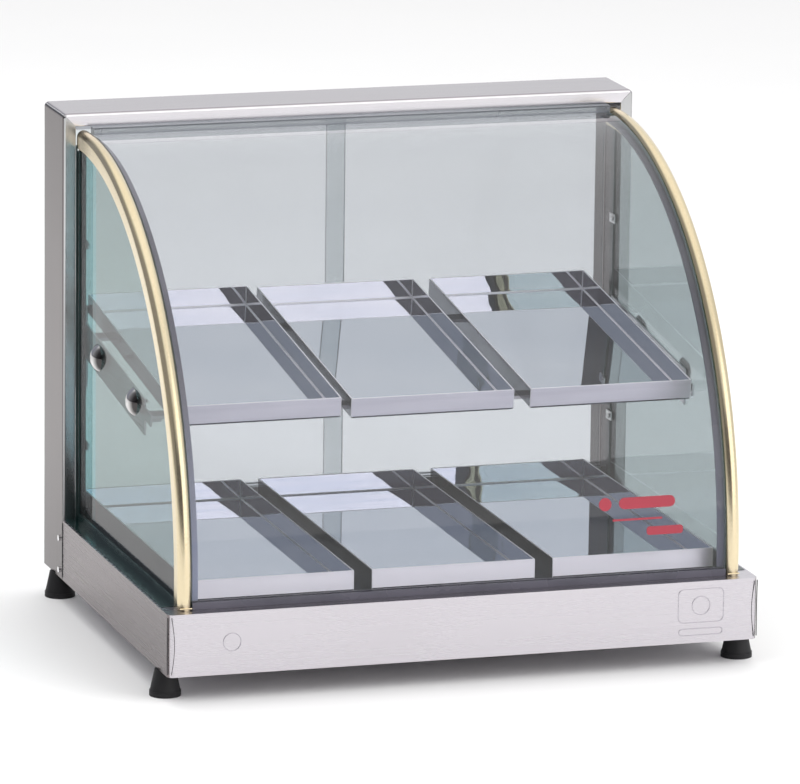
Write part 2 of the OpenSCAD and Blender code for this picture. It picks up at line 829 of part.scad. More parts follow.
base_shell();
deck_plate();
bottom_cover();
rear_panel();
cover_screws();
foot_front_left();
foot_front_right();
foot_rear_left();
foot_rear_right();
foot_bolts();
rear_post_left();
rear_post_right();
top_beam();
post_screws();
door_track_top();
door_track_bottom();
sliding_door_left();
sliding_door_right();
door_pull_left();
door_pull_right();
front_glass();
side_glass_left();
side_glass_right();
edge_trim_left();
edge_trim_right();
edge_seal_left();
edge_seal_right();
bottom_seal();
top_seal();
side_gasket_left();
side_gasket_right();
glass_clips();
shelf_bracket_left();
shelf_bracket_right();
shelf_bar_front();
shelf_bar_rear();
bracket_bolts();
bracket_nuts();
upper_tray_left();
upper_tray_middle();
upper_tray_right();
lower_tray_left();
lower_tray_middle();
lower_tray_right();
heating_element();
element_clips();
heat_shield();
thermostat_body();
thermostat_bulb();
thermostat_shaft();
thermostat_knob();
switch_housing();
switch_rocker();
pilot_lamp();
terminal_block();
internal_wires();
cable_gland();
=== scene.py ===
"""Looks of the heated bakery display case: materials, small details, camera, light and floor.

The frame's axes are +X right, +Y rear, +Z up, and every length is in metres.
"""

import math

import bmesh
import bpy
from mathutils import Matrix, Vector


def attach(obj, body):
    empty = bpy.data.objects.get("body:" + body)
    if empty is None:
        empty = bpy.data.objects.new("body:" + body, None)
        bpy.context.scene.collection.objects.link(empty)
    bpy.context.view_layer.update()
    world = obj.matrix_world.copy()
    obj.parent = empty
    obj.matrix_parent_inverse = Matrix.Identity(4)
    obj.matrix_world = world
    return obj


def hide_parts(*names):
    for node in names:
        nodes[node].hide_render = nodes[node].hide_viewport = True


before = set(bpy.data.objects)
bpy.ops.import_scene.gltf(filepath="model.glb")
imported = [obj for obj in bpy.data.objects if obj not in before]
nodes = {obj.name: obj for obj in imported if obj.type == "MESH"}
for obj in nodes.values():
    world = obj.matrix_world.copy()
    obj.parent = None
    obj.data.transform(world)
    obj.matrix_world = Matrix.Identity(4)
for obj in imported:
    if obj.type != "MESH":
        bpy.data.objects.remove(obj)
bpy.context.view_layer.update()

MM = 0.001
X, Y, Z = 0, 1, 2
SIDES = ((-1, "left"), (1, "right"))


def new_object(name, data):
    """A new object in the scene."""
    made = bpy.data.objects.new(name, data)
    bpy.context.scene.collection.objects.link(made)
    return made


# ---------- camera ----------

CAMERA_TARGET = Vector((0.0045, 0.0, 0.2552))
CAMERA_AZIMUTH = math.radians(-17.34)
CAMERA_ELEVATION = math.radians(12.55)
CAMERA_ROLL = math.radians(0.674)
CAMERA_DISTANCE = 7.657
CAMERA_LENS = 324.5


def make_camera():
    """A long lens to the left of the front and a little above the case, with no shift."""
    data = bpy.data.cameras.new("camera")
    data.lens = CAMERA_LENS
    data.clip_end = 100.0
    camera = new_object("camera", data)
    around, above = CAMERA_AZIMUTH, CAMERA_ELEVATION
    reach = math.cos(above)
    back = Vector((math.sin(around) * reach, -math.cos(around) * reach, math.sin(above)))
    level = Vector((math.cos(around), math.sin(around), 0.0))
    up = back.cross(level)
    right = level * math.cos(CAMERA_ROLL) + up * math.sin(CAMERA_ROLL)
    up = back.cross(right)
    turn = Matrix((right, up, back)).transposed()
    place = Matrix.Translation(CAMERA_TARGET + back * CAMERA_DISTANCE)
    camera.matrix_world = place @ turn.to_4x4()
    bpy.context.scene.camera = camera


make_camera()


# ---------- building blocks for materials ----------

def add(tree, kind, sockets=None, **settings):
    """A new shader node; a socket's value is a number, a colour or another node's output."""
    made = tree.nodes.new("ShaderNode" + kind)
    for key, value in settings.items():
        setattr(made, key, value)
    for key, value in (sockets or {}).items():
        if isinstance(value, bpy.types.NodeSocket):
            tree.links.new(value, made.inputs[key])
        else:
            made.inputs[key].default_value = value
    return made


def rgb(colour):
    """A colour with its alpha; another node's output stays as it is."""
    return colour if isinstance(colour, bpy.types.NodeSocket) else (*colour, 1.0)


def new_tree(name):
    """An empty material's node tree with its output node."""
    material = bpy.data.materials.new(name)
    material.use_nodes = True
    tree = material.node_tree
    tree.nodes.clear()
    output = tree.nodes.new("ShaderNodeOutputMaterial")
    return material, tree, output


def principled(tree, output, sockets):
    """Ends a tree in one principled shader."""
    shader = add(tree, "BsdfPrincipled", sockets)
    tree.links.new(shader.outputs[0], output.inputs[0])


def stretched(tree, scale):
    """Object coordinates times a scale for each axis."""
    place = add(tree, "TexCoord").outputs["Object"]
    return add(tree, "Mapping", {"Vector": place, "Scale": scale}).outputs[0]


def coordinate(tree, axis):
    """One of the object coordinates."""
    place = add(tree, "TexCoord").outputs["Object"]
    return add(tree, "SeparateXYZ", {"Vector": place}).outputs[axis]


def noise(tree, vector, scale=1.0, detail=2.0):
    """Noise from 0 to 1 over the given coordinates."""
    return add(tree, "TexNoise", {"Vector": vector, "Scale": scale, "Detail": detail}).outputs[0]


def remap(tree, value, low, high, start=0.3, end=0.7):
    """Maps start..end to low..high."""
    sockets = {"Value": value, "From Min": start, "From Max": end, "To Min": low, "To Max": high}
    return add(tree, "MapRange", sockets).outputs[0]


def combine(tree, operation, a, b):
    """One arithmetic operation on two values."""
    return add(tree, "Math", {0: a, 1: b}, operation=operation).outputs[0]


def blend_colours(tree, share, a, b):
    """Goes from colour a to colour b."""
    return add(tree, "MixRGB", {0: share, 1: rgb(a), 2: rgb(b)}).outputs[0]


def bumped(tree, height, depth, normal=None):
    """A normal that is disturbed by a height of up to depth metres."""
    sockets = {"Height": height, "Distance": depth, "Strength": 1.0}
    if normal is not None:
        sockets["Normal"] = normal
    return add(tree, "Bump", sockets).outputs[0]


FACING_STARTS = 0.6
FACING_FULL = 0.8


def facing(tree, axis):
    """1 where the surface faces along an axis of the frame, going smoothly to 0 where it turns away."""
    normal = add(tree, "NewGeometry").outputs["Normal"]
    parts = add(tree, "SeparateXYZ", {"Vector": normal})
    size = combine(tree, "ABSOLUTE", parts.outputs[axis], 0.0)
    return remap(tree, size, 0.0, 1.0, FACING_STARTS, FACING_FULL)


ALONG_GRAIN = 2.5
ACROSS_GRAIN = 420.0


def grain(tree, axis):
    """Fine brushed lines that run along one axis of the frame."""
    scale = [ACROSS_GRAIN] * 3
    scale[axis] = ALONG_GRAIN
    return noise(tree, stretched(tree, scale), 1.0, 5.0)


def cloud(tree, scale, detail=2.0):
    """Soft patches of about 1/scale metres."""
    return noise(tree, stretched(tree, (1.0, 1.0, 1.0)), scale, detail)


# ---------- metals ----------

SKIN_PITCH = 900.0
METAL_PATCHES = 7.0
SHEET_WAVES = 9.0
LINES_SHARE = 0.6


def metal(name, light, dark, smooth, rough, depth, lines=None, turned=None, painted_side_shade=None,
          dent=0.0):
    """Steel, brass or aluminium: light and dark are its colours, smooth and rough its roughness range.

    lines is the axis of its brushed lines, and turned is (normal's axis, lines' axis) for faces that
    are brushed another way; their colour is multiplied by the given side shade, which is painted shade
    that makes them darker than the faces the light falls on. depth is the height of the lines, and dent
    the height of the sheet's slow waves.
    """
    material, tree, output = new_tree(name)
    lined = grain(tree, lines) if lines is not None else cloud(tree, SKIN_PITCH)
    patches = cloud(tree, METAL_PATCHES, 3.0)
    side = None
    if turned is not None:
        side = facing(tree, turned[0])
        straight = combine(tree, "MULTIPLY", lined, combine(tree, "SUBTRACT", 1.0, side))
        other = combine(tree, "MULTIPLY", grain(tree, turned[1]), side)
        lined = combine(tree, "ADD", straight, other)
    both = combine(tree, "ADD", combine(tree, "MULTIPLY", lined, LINES_SHARE),
                   combine(tree, "MULTIPLY", patches, 1.0 - LINES_SHARE))
    spread = remap(tree, both, 0.0, 1.0, 0.36, 0.64)
    colour = blend_colours(tree, spread, dark, light)
    # painted shade: the faces that look along turned's normal axis get darker tones here
    if side is not None:
        painted_shade_tones = [[part * shade for part, shade in zip(tone, painted_side_shade)]
                  for tone in (dark, light)]
        colour = blend_colours(tree, side, colour, blend_colours(tree, spread, *painted_shade_tones))
    roughness = remap(tree, spread, rough, smooth, 0.0, 1.0)
    normal = bumped(tree, lined, depth)
    if dent:
        normal = bumped(tree, cloud(tree, SHEET_WAVES, 1.0), dent, normal)
    principled(tree, output, {"Base Color": colour, "Roughness": roughness, "Normal": normal,
                              "Metallic": 1.0})
    return material


def dome_chrome():
    """Chrome of the dome heads, with a painted dark reflection on the side they turn to the front of the
    room.
    """
    material, tree, output = new_tree("dome_chrome_look")
    normal = add(tree, "SeparateXYZ", {"Vector": add(tree, "NewGeometry").outputs["Normal"]})
    patches = cloud(tree, 160.0, 2.0)
    # painted reflection: the chrome goes nearly black where the normal turns to the front
    front = remap(tree, normal.outputs[Y], 1.0, 0.0, -0.65, -0.3)
    spread = remap(tree, patches, 0.0, 1.0)
    bright = blend_colours(tree, spread, (0.6, 0.59, 0.585), (0.7, 0.69, 0.68))
    colour = blend_colours(tree, front, bright, (0.07, 0.065, 0.065))
    roughness = remap(tree, patches, 0.03, 0.08)
    principled(tree, output, {"Base Color": colour, "Roughness": roughness, "Metallic": 1.0})
    return material


def tray_mirror(name, dark, light):
    """Mirror-polished sheet whose upright walls ripple a little and carry level streaks of painted
    highlight.
    """
    material, tree, output = new_tree(name)
    patches = cloud(tree, 9.0, 2.0)
    highlight_streaks = noise(tree, stretched(tree, (6.0, 6.0, 420.0)), 1.0, 2.0)
    upright = combine(tree, "SUBTRACT", 1.0, facing(tree, Z))
    plain = blend_colours(tree, remap(tree, patches, 0.0, 1.0), dark, light)
    # painted highlight: level streaks on the upright walls go towards white
    painted_streak_highlight = combine(tree, "MULTIPLY", remap(tree, highlight_streaks, 0.3, 1.0), upright)
    colour = blend_colours(tree, painted_streak_highlight, plain, (0.96, 0.96, 0.98))
    waves = bumped(tree, cloud(tree, 11.0, 1.0), 0.1 * MM)
    ripple = combine(tree, "MULTIPLY", cloud(tree, 34.0, 1.0), upright)
    normal = bumped(tree, ripple, 0.22 * MM, waves)
    roughness = remap(tree, patches, 0.0, 0.02)
    principled(tree, output, {"Base Color": colour, "Roughness": roughness, "Normal": normal,
                              "Metallic": 1.0})
    return material


def tray_satin(name, light, dark, metallic, lean=0.0):
    """Satin sheet with soft level bands, as on a tray's front; lean tips its shading upwards."""
    material, tree, output = new_tree(name)
    bands = noise(tree, stretched(tree, (5.0, 5.0, 90.0)), 1.0, 2.0)
    lines = grain(tree, X)
    colour = blend_colours(tree, remap(tree, bands, 0.0, 1.0), dark, light)
    flat = add(tree, "NewGeometry").outputs["Normal"]
    tipped = add(tree, "VectorMath", {0: flat, 1: (0.0, 0.0, lean)}, operation="ADD").outputs[0]
    level = add(tree, "VectorMath", {0: tipped}, operation="NORMALIZE").outputs[0]
    roughness = remap(tree, lines, 0.35, 0.45)
    normal = bumped(tree, bands, 0.05 * MM, level)
    principled(tree, output, {"Base Color": colour, "Roughness": roughness, "Normal": normal,
                              "Metallic": metallic})
    return material


# ---------- rubber and plastic ----------

def plastic(name, light, dark, smooth, rough, pitch=600.0, depth=0.02 * MM, coat=0.0,
            specular=0.5):
    """Moulded plastic or rubber with a fine pebbled skin and soft patches of wear."""
    material, tree, output = new_tree(name)
    pebbles = cloud(tree, pitch)
    patches = cloud(tree, 18.0, 3.0)
    colour = blend_colours(tree, remap(tree, patches, 0.0, 1.0), dark, light)
    roughness = remap(tree, patches, smooth, rough)
    normal = bumped(tree, pebbles, depth)
    principled(tree, output, {"Base Color": colour, "Roughness": roughness, "Normal": normal,
                              "Coat Weight": coat, "Coat Roughness": 0.12,
                              "Specular IOR Level": specular})
    return material


def seal_strip(name, dark, light, foot):
    """Glossy dark strip beside the edge covers; it turns paler and bluer towards the base."""
    material, tree, output = new_tree(name)
    height = remap(tree, coordinate(tree, Z), 1.0, 0.0, 0.12, 0.32)
    patches = cloud(tree, 12.0, 3.0)
    base = blend_colours(tree, remap(tree, patches, 0.0, 1.0), dark, light)
    colour = blend_colours(tree, height, base, foot)
    roughness = remap(tree, patches, 0.15, 0.28)
    normal = bumped(tree, cloud(tree, 500.0), 0.004 * MM)
    principled(tree, output, {"Base Color": colour, "Roughness": roughness, "Normal": normal})
    return material


def clear_silicone():
    """Milky see-through silicone."""
    material, tree, output = new_tree("clear_silicone_look")
    patches = cloud(tree, 9.0, 1.0)
    spread = remap(tree, patches, 0.0, 1.0)
    colour = blend_colours(tree, spread, (0.24, 0.26, 0.29), (0.28, 0.3, 0.33))
    cover = remap(tree, patches, 0.5, 0.54)
    principled(tree, output, {"Base Color": colour, "Roughness": 0.3, "Alpha": cover})
    return material


# ---------- glass ----------

GLASS_IOR = 1.5
REAR_STRIP = 0.098
STRIP_BLUR = 2 * MM
WHITE = (1.0, 1.0, 1.0, 1.0)


def glass(name, tint, edge, edge_axis=None, mirror=1.0, rear_tint=None):
    """A tinted pane: what is behind shows through unbent, and its outer faces mirror the room.

    tint is what one pane lets through, edge the deeper colour of its ground edges, and edge_axis
    the axis that the edges look along (None: all faces but those that look along Y are edges).
    rear_tint is what its last stretch, beside the post, lets through.
    """
    material, tree, output = new_tree(name)
    haze = cloud(tree, 5.0, 4.0)
    wipe = noise(tree, stretched(tree, (3.0, 3.0, 14.0)), 1.0, 3.0)
    film = remap(tree, combine(tree, "MULTIPLY", haze, wipe), 0.0, 0.035, 0.15, 0.5)
    clear = add(tree, "BsdfTransparent", {"Color": rgb(tint)})
    if rear_tint is not None:
        rear = remap(tree, coordinate(tree, Y), 0.0, 1.0, REAR_STRIP, REAR_STRIP + STRIP_BLUR)
        tree.links.new(blend_colours(tree, rear, tint, rear_tint), clear.inputs["Color"])
    passing = add(tree, "BsdfTransparent", {"Color": WHITE})
    shine = add(tree, "BsdfGlossy", {"Color": WHITE, "Roughness": remap(tree, haze, 0.0, 0.03)})
    dust = add(tree, "BsdfDiffuse", {"Color": rgb((0.85, 0.88, 0.9))})
    fresnel = add(tree, "Fresnel", {"IOR": GLASS_IOR}).outputs[0]
    share = combine(tree, "MULTIPLY", fresnel, mirror)
    dusty = add(tree, "MixShader", {0: film, 1: clear.outputs[0], 2: dust.outputs[0]})
    face = add(tree, "MixShader", {0: share, 1: dusty.outputs[0], 2: shine.outputs[0]})
    inside = add(tree, "NewGeometry").outputs["Backfacing"]
    pane = add(tree, "MixShader", {0: inside, 1: face.outputs[0], 2: passing.outputs[0]})
    if edge_axis is None:
        rim = combine(tree, "SUBTRACT", 1.0, facing(tree, Y))
    else:
        rim = facing(tree, edge_axis)
    edge_colour = blend_colours(tree, haze, edge, [0.6 * part for part in edge])
    ground = add(tree, "BsdfPrincipled", {"Base Color": edge_colour, "Roughness": 0.25, "Alpha": 0.75})
    both = add(tree, "MixShader", {0: rim, 1: pane.outputs[0], 2: ground.outputs[0]})
    tree.links.new(both.outputs[0], output.inputs[0])
    return material


# ---------- the case's own materials ----------

BRUSHED = 0.0003 * MM

LOOKS = {
    # the case's sheet metal; the side shade paints shade on the sides of the base and posts and on the
    # top and underside of the beam
    "brushed_steel": metal("brushed_steel_look", light=(0.57, 0.545, 0.578), dark=(0.555, 0.53, 0.563),
                           smooth=0.26, rough=0.285, depth=BRUSHED, lines=X, turned=(X, Y),
                           painted_side_shade=(0.38, 0.345, 0.33), dent=0.05 * MM),
    "post_steel": metal("post_steel_look", light=(0.52, 0.525, 0.53), dark=(0.49, 0.49, 0.495),
                        smooth=0.21, rough=0.24, depth=BRUSHED, lines=Z, turned=(X, Z),
                        painted_side_shade=(0.21, 0.175, 0.17), dent=0.05 * MM),
    "beam_steel": metal("beam_steel_look", light=(0.715, 0.695, 0.725), dark=(0.7, 0.68, 0.71),
                        smooth=0.19, rough=0.22, depth=BRUSHED, lines=X, turned=(Z, X),
                        painted_side_shade=(0.52, 0.5, 0.51), dent=0.05 * MM),
    "deck_steel": metal("deck_steel_look", light=(0.16, 0.18, 0.19), dark=(0.12, 0.135, 0.145),
                        smooth=0.12, rough=0.22, depth=0.0005 * MM, lines=Y, dent=0.05 * MM),
    # painted shade: the raised outlines are a darker copy of the base's steel; the beads themselves are
    # real
    "embossing_shaded": metal("embossing_shaded_look", light=(0.5, 0.48, 0.52), dark=(0.42, 0.4, 0.44), smooth=0.2,
                       rough=0.3, depth=0.001 * MM),
    # the trays
    "tray_mirror": tray_mirror("tray_mirror_look", dark=(0.8, 0.83, 0.88), light=(0.86, 0.88, 0.92)),
    # painted shade: the lower trays' mirror is a darker, bluer copy of the upper trays' mirror
    "lower_mirror_shaded": tray_mirror("lower_mirror_shaded_look", dark=(0.71, 0.76, 0.85), light=(0.77, 0.81, 0.89)),
    # painted highlight: near-white satin on the trays' bends, rims and cut corners
    "tray_fold_highlight": tray_satin("tray_fold_highlight_look", light=(0.99, 0.99, 1.0), dark=(0.95, 0.95, 0.97),
                            metallic=0.1),
    # painted shade: the trays' outer walls and undersides are near-black steel
    "tray_outside_shaded": metal("tray_outside_shaded_look", light=(0.15, 0.16, 0.19), dark=(0.1, 0.11, 0.135),
                          smooth=0.1, rough=0.18, depth=0.001 * MM, lines=Y, dent=0.1 * MM),
    "upper_front": tray_satin("upper_front_look", light=(0.84, 0.84, 0.9), dark=(0.68, 0.68, 0.75),
                              metallic=0.5),
    # painted light: the lower trays' fronts are a near-white copy of the upper fronts' satin
    "lower_front_painted_light": tray_satin("lower_front_painted_light_look", light=(0.99, 0.98, 1.0), dark=(0.95, 0.94, 0.97),
                              metallic=0.6, lean=0.5),
    # smaller metal parts
    "bracket_steel": metal("bracket_steel_look", light=(0.55, 0.55, 0.57), dark=(0.45, 0.45, 0.47),
                           smooth=0.26, rough=0.38, depth=0.001 * MM, lines=Y, dent=0.02 * MM),
    "screw_steel": metal("screw_steel_look", light=(0.72, 0.71, 0.7), dark=(0.5, 0.49, 0.48),
                         smooth=0.18, rough=0.38, depth=0.004 * MM),
    "chrome": metal("chrome_look", light=(0.93, 0.93, 0.94), dark=(0.87, 0.87, 0.88), smooth=0.02,
                    rough=0.06, depth=0.0004 * MM),
    "dome_chrome": dome_chrome(),
    "gold_trim": metal("gold_trim_look", light=(0.79, 0.69, 0.49), dark=(0.71, 0.6, 0.39), smooth=0.2,
                       rough=0.27, depth=0.0004 * MM),
    "aluminium": metal("aluminium_look", light=(0.7, 0.72, 0.74), dark=(0.56, 0.58, 0.6), smooth=0.25,
                       rough=0.4, depth=0.006 * MM, lines=X),
    "element_steel": metal("element_steel_look", light=(0.3, 0.24, 0.2), dark=(0.1, 0.08, 0.08),
                           smooth=0.3, rough=0.55, depth=0.01 * MM),
    "copper": metal("copper_look", light=(0.9, 0.5, 0.33), dark=(0.55, 0.27, 0.16), smooth=0.2,
                    rough=0.4, depth=0.006 * MM),
    # rubber and plastic
    "foot_rubber": plastic("foot_rubber_look", light=(0.016, 0.016, 0.017), dark=(0.008, 0.008, 0.009),
                           smooth=0.45, rough=0.6, pitch=900.0, depth=0.02 * MM, specular=0.3),
    "dark_seal": plastic("dark_seal_look", light=(0.1, 0.095, 0.125), dark=(0.06, 0.058, 0.08),
                         smooth=0.18, rough=0.34, pitch=700.0, depth=0.01 * MM),
    "seal_strip": seal_strip("seal_strip_look", dark=(0.15, 0.145, 0.17), light=(0.2, 0.195, 0.225),
                             foot=(0.34, 0.38, 0.5)),
    # painted shade: the right seal strip is a darker copy of the left one
    "right_seal_strip_shaded": seal_strip("right_seal_strip_shaded_look", dark=(0.06, 0.06, 0.075),
                                   light=(0.09, 0.09, 0.11), foot=(0.12, 0.13, 0.19)),
    "top_seal": clear_silicone(),
    "ledge": plastic("ledge_look", light=(0.012, 0.03, 0.029), dark=(0.006, 0.018, 0.018), smooth=0.12,
                     rough=0.25, pitch=300.0, depth=0.004 * MM),
    "seam": plastic("seam_look", light=(0.03, 0.03, 0.032), dark=(0.018, 0.017, 0.02), smooth=0.3,
                    rough=0.5),
    "red_print": plastic("red_print_look", light=(0.4, 0.035, 0.06), dark=(0.32, 0.025, 0.045),
                         smooth=0.35, rough=0.5, pitch=900.0, depth=0.002 * MM),
    "cream_plastic": plastic("cream_plastic_look", light=(0.78, 0.72, 0.6), dark=(0.62, 0.56, 0.45),
                             smooth=0.35, rough=0.55),
    "black_plastic": plastic("black_plastic_look", light=(0.03, 0.03, 0.033),
                             dark=(0.012, 0.012, 0.014), smooth=0.28, rough=0.48),
    "red_plastic": plastic("red_plastic_look", light=(0.62, 0.035, 0.025), dark=(0.42, 0.02, 0.016),
                           smooth=0.2, rough=0.35),
    "amber_lens": plastic("amber_lens_look", light=(0.95, 0.4, 0.05), dark=(0.7, 0.22, 0.02),
                          smooth=0.06, rough=0.15, coat=0.6),
    "wire_insulation": plastic("wire_insulation_look", light=(0.5, 0.08, 0.05), dark=(0.3, 0.04, 0.03),
                               smooth=0.35, rough=0.5),
    # the panes
    "clear_glass": glass("clear_glass_look", tint=(0.7, 0.7, 0.735), edge=(0.16, 0.26, 0.27),
                         edge_axis=X),
    "side_glass": glass("side_glass_look", tint=(0.27, 0.355, 0.35), edge=(0.03, 0.09, 0.09), edge_axis=Y,
                        mirror=0.7, rear_tint=(0.2, 0.4, 0.41)),
    "far_side_glass": glass("far_side_glass_look", tint=(0.38, 0.46, 0.455), edge=(0.03, 0.08, 0.08),
                            edge_axis=Y, mirror=0.7),
    "door_glass": glass("door_glass_look", tint=(0.69, 0.725, 0.73), edge=(0.04, 0.09, 0.1), mirror=0.5),
}

# the nodes whose look differs from that of their slot
LOOK_OF_NODE = {name: "tray_mirror" for name in nodes if "tray" in name}
LOOK_OF_NODE |= {
    "edge_seal_left": "seal_strip",
    "edge_seal_right": "right_seal_strip_shaded",
    "rear_post_left": "post_steel",
    "rear_post_right": "post_steel",
    "top_beam": "beam_steel",
    "side_glass_left": "side_glass",
    "side_glass_right": "far_side_glass",
    "top_seal": "top_seal",
    "deck_plate": "deck_steel",
    "bracket_bolts": "dome_chrome",
    "post_screws": "chrome",
    "side_gasket_left": "ledge",
    "side_gasket_right": "ledge",
    "sliding_door_left": "door_glass",
    "sliding_door_right": "door_glass",
}


def dress():
    """Gives every carried CAD node its look, by node name or else by the slot it was packed with."""
    for name, node in nodes.items():
        for slot in node.material_slots:
            look = LOOKS[LOOK_OF_NODE.get(name, slot.material.name)]
            slot.link = "OBJECT"
            slot.material = look


dress()

WELD_REACH = 0.001 * MM
FLAT_ANGLE = math.radians(0.05)
SHARP_ANGLE = math.radians(35)


def soften(name, width, segments):
    """Rounds the sharp edges of a carried CAD node."""
    node = nodes[name]
    weld = node.modifiers.new("weld", "WELD")
    weld.merge_threshold = WELD_REACH
    flat = node.modifiers.new("flat", "DECIMATE")
    flat.decimate_type = "DISSOLVE"
    flat.angle_limit = FLAT_ANGLE
    bevel = node.modifiers.new("bevel", "BEVEL")
    bevel.width = width
    bevel.segments = segments
    bevel.limit_method = "ANGLE"
    bevel.angle_limit = SHARP_ANGLE
    shade = node.modifiers.new("shade", "WEIGHTED_NORMAL")
    shade.keep_sharp = False


soften("base_shell", 0.55 * MM, 3)
soften("deck_plate", 0.3 * MM, 2)


# ---------- building blocks for shapes ----------

def finished(shape, name, smooth=True):
    """The mesh of a closed shape, with all its faces looking outwards."""
    bmesh.ops.recalc_face_normals(shape, faces=shape.faces)
    for face in shape.faces:
        face.smooth = smooth
    mesh = bpy.data.meshes.new(name)
    shape.to_mesh(mesh)
    shape.free()
    return mesh


def level_box(node, tilt=0.0):
    """The low and high corners of a node once its tilt about X is taken out."""
    level = Matrix.Rotation(-tilt, 4, "X") @ node.matrix_world
    places = [level @ vertex.co for vertex in node.data.vertices]
    low = Vector([min(place[axis] for place in places) for axis in (X, Y, Z)])
    high = Vector([max(place[axis] for place in places) for axis in (X, Y, Z)])
    return low, high


ARC_STEPS = 4


def arc(across, up, radius, start, end):
    """Points round the centre (across, up), from one angle in degrees to another."""
    angles = [math.radians(start + (end - start) * step / ARC_STEPS) for step in range(ARC_STEPS + 1)]
    return [(across + radius * math.cos(angle), up + radius * math.sin(angle)) for angle in angles]


# ---------- folded trays ----------

SHELF_TILT = math.radians(7.5)
SHEET = 1.0 * MM
FOLD_RADIUS = 1.4 * MM
RIM = 1.5 * MM
CORNER_CUT = 0.6 * MM


def tray_profile(height):
    """From the inner floor up the wall, over the rim and down to the underside, with the part's name."""
    inner = SHEET + FOLD_RADIUS
    parts = (("bend", arc(inner, inner, FOLD_RADIUS, 270, 180)),
             ("rim", arc(RIM / 2, height - RIM / 2, RIM / 2, 0, 180)),
             ("under", arc(inner, inner, inner, 180, 270)))
    return [(part, point) for part, points in parts for point in points]


def cut_rectangle(width, length, inset):
    """A rectangle inset on all sides, with its corners cut; its sides start with the front one."""
    left, right, front, rear = inset, width - inset, inset, length - inset
    cut = CORNER_CUT
    return [(left + cut, front), (right - cut, front), (right, front + cut), (right, rear - cut),
            (right - cut, rear), (left + cut, rear), (left, rear - cut), (left, front + cut)]


FINISHES = ("mirror", "fold", "outside", "front")


def finish_of(part, next_part, side):
    """Which finish a strip of the tray has, by the profile parts it joins and its side."""
    if side % 2 or part == next_part != "under":
        return "fold"
    if next_part == "rim":
        return "mirror"
    return "front" if side == 0 and part == "rim" else "outside"


def tray_mesh(name, width, length, height):
    """A folded sheet tray with bent lower edges, a rounded rim and corner seams."""
    shape = bmesh.new()
    profile = tray_profile(height)
    rings = [[shape.verts.new((x, y, up)) for x, y in cut_rectangle(width, length, inset)]
             for part, (inset, up) in profile]
    parts = [part for part, place in profile]
    for level, (ring, above) in enumerate(zip(rings, rings[1:])):
        for side in range(len(ring)):
            after = (side + 1) % len(ring)
            strip = (ring[side], ring[after], above[after], above[side])
            finish = finish_of(parts[level], parts[level + 1], side)
            shape.faces.new(strip).material_index = FINISHES.index(finish)
    shape.faces.new(rings[0]).material_index = FINISHES.index("mirror")
    shape.faces.new(rings[-1]).material_index = FINISHES.index("outside")
    return finished(shape, name)


def folded_tray(name, tilt, inside, front):
    """Stands for one CAD tray and rides on its body; inside and front name two of its looks."""
    low, high = level_box(nodes[name], tilt)
    mesh = tray_mesh(name + "_sheet", *(high - low))
    for look in (inside, "tray_fold_highlight", "tray_outside_shaded", front):
        mesh.materials.append(LOOKS[look])
    tray = new_object(name + "_sheet", mesh)
    tray.matrix_world = Matrix.Rotation(tilt, 4, "X") @ Matrix.Translation(low)
    tray.modifiers.new("shade", "WEIGHTED_NORMAL")
    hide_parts(name)
    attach(tray, name)


for place in ("left", "middle", "right"):
    folded_tray("upper_tray_" + place, SHELF_TILT, "tray_mirror", "upper_front")
    folded_tray("lower_tray_" + place, 0.0, "lower_mirror_shaded", "lower_front_painted_light")


# ---------- rear frame with rounded edges ----------

FRAME_ROUND = 3.0 * MM
INNER_ROUND = 1.0 * MM
FRAME_TURN = 5.0 * MM
TIGHTEST_TURN = 0.3 * MM


def frame_section(thick, front, rear):
    """Points (inset from the outside, y) round the section of a post or of the beam."""
    outer, inner = FRAME_ROUND, INNER_ROUND
    return (arc(outer, front + outer, outer, 180, 270)
            + arc(thick - inner, front + inner, inner, 270, 360)
            + arc(thick - inner, rear - inner, inner, 0, 90)
            + arc(outer, rear - outer, outer, 90, 180))


def corner_turn(inset, wide, top, start, end):
    """Points (x, z) on the frame's upper left corner, at an inset from its outside."""
    radius = max(FRAME_TURN - inset, TIGHTEST_TURN)
    return arc(inset + radius - wide, top - inset - radius, radius, start, end)


def loft(name, section, run):
    """A closed bar: run(inset) gives the (x, z) points that a point of the section follows."""
    shape = bmesh.new()
    rows = [[shape.verts.new((x, y, z)) for x, z in run(inset)] for inset, y in section]
    for row, after in zip(rows, rows[1:] + rows[:1]):
        for place in range(len(row) - 1):
            shape.faces.new((row[place], row[place + 1], after[place + 1], after[place]))
    shape.faces.new([row[0] for row in rows])
    shape.faces.new([row[-1] for row in rows])
    return finished(shape, name)


def frame_bar(name, node, look, run, section):
    """Stands for one bar of the CAD frame."""
    mesh = loft(name, section, run)
    mesh.materials.append(LOOKS[look])
    bar = new_object(name, mesh)
    bar.modifiers.new("shade", "WEIGHTED_NORMAL")
    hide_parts(node)
    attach(bar, "root")


def rear_frame():
    """Two posts and the beam, mitred at the corners, with rounded outer edges."""
    low, high = level_box(nodes["rear_post_left"])
    wide, top, bottom = -low[X], high[Z], low[Z]
    section = frame_section(high[X] - low[X], low[Y], high[Y])

    def left_post(inset):
        return [(inset - wide, bottom)] + corner_turn(inset, wide, top, 180, 135)

    def right_post(inset):
        return [(-x, z) for x, z in left_post(inset)]

    def beam(inset):
        left = corner_turn(inset, wide, top, 135, 90)
        return left + [(-x, z) for x, z in reversed(left)]

    frame_bar("post_left_skin", "rear_post_left", "post_steel", left_post, section)
    frame_bar("post_right_skin", "rear_post_right", "post_steel", right_post, section)
    frame_bar("beam_skin", "top_beam", "beam_steel", beam, section)


rear_frame()


# ---------- seams, and generic marks in place of the maker's ----------

base_low, base_high = level_box(nodes["base_shell"])
ABOVE_SKIN = 0.1 * MM


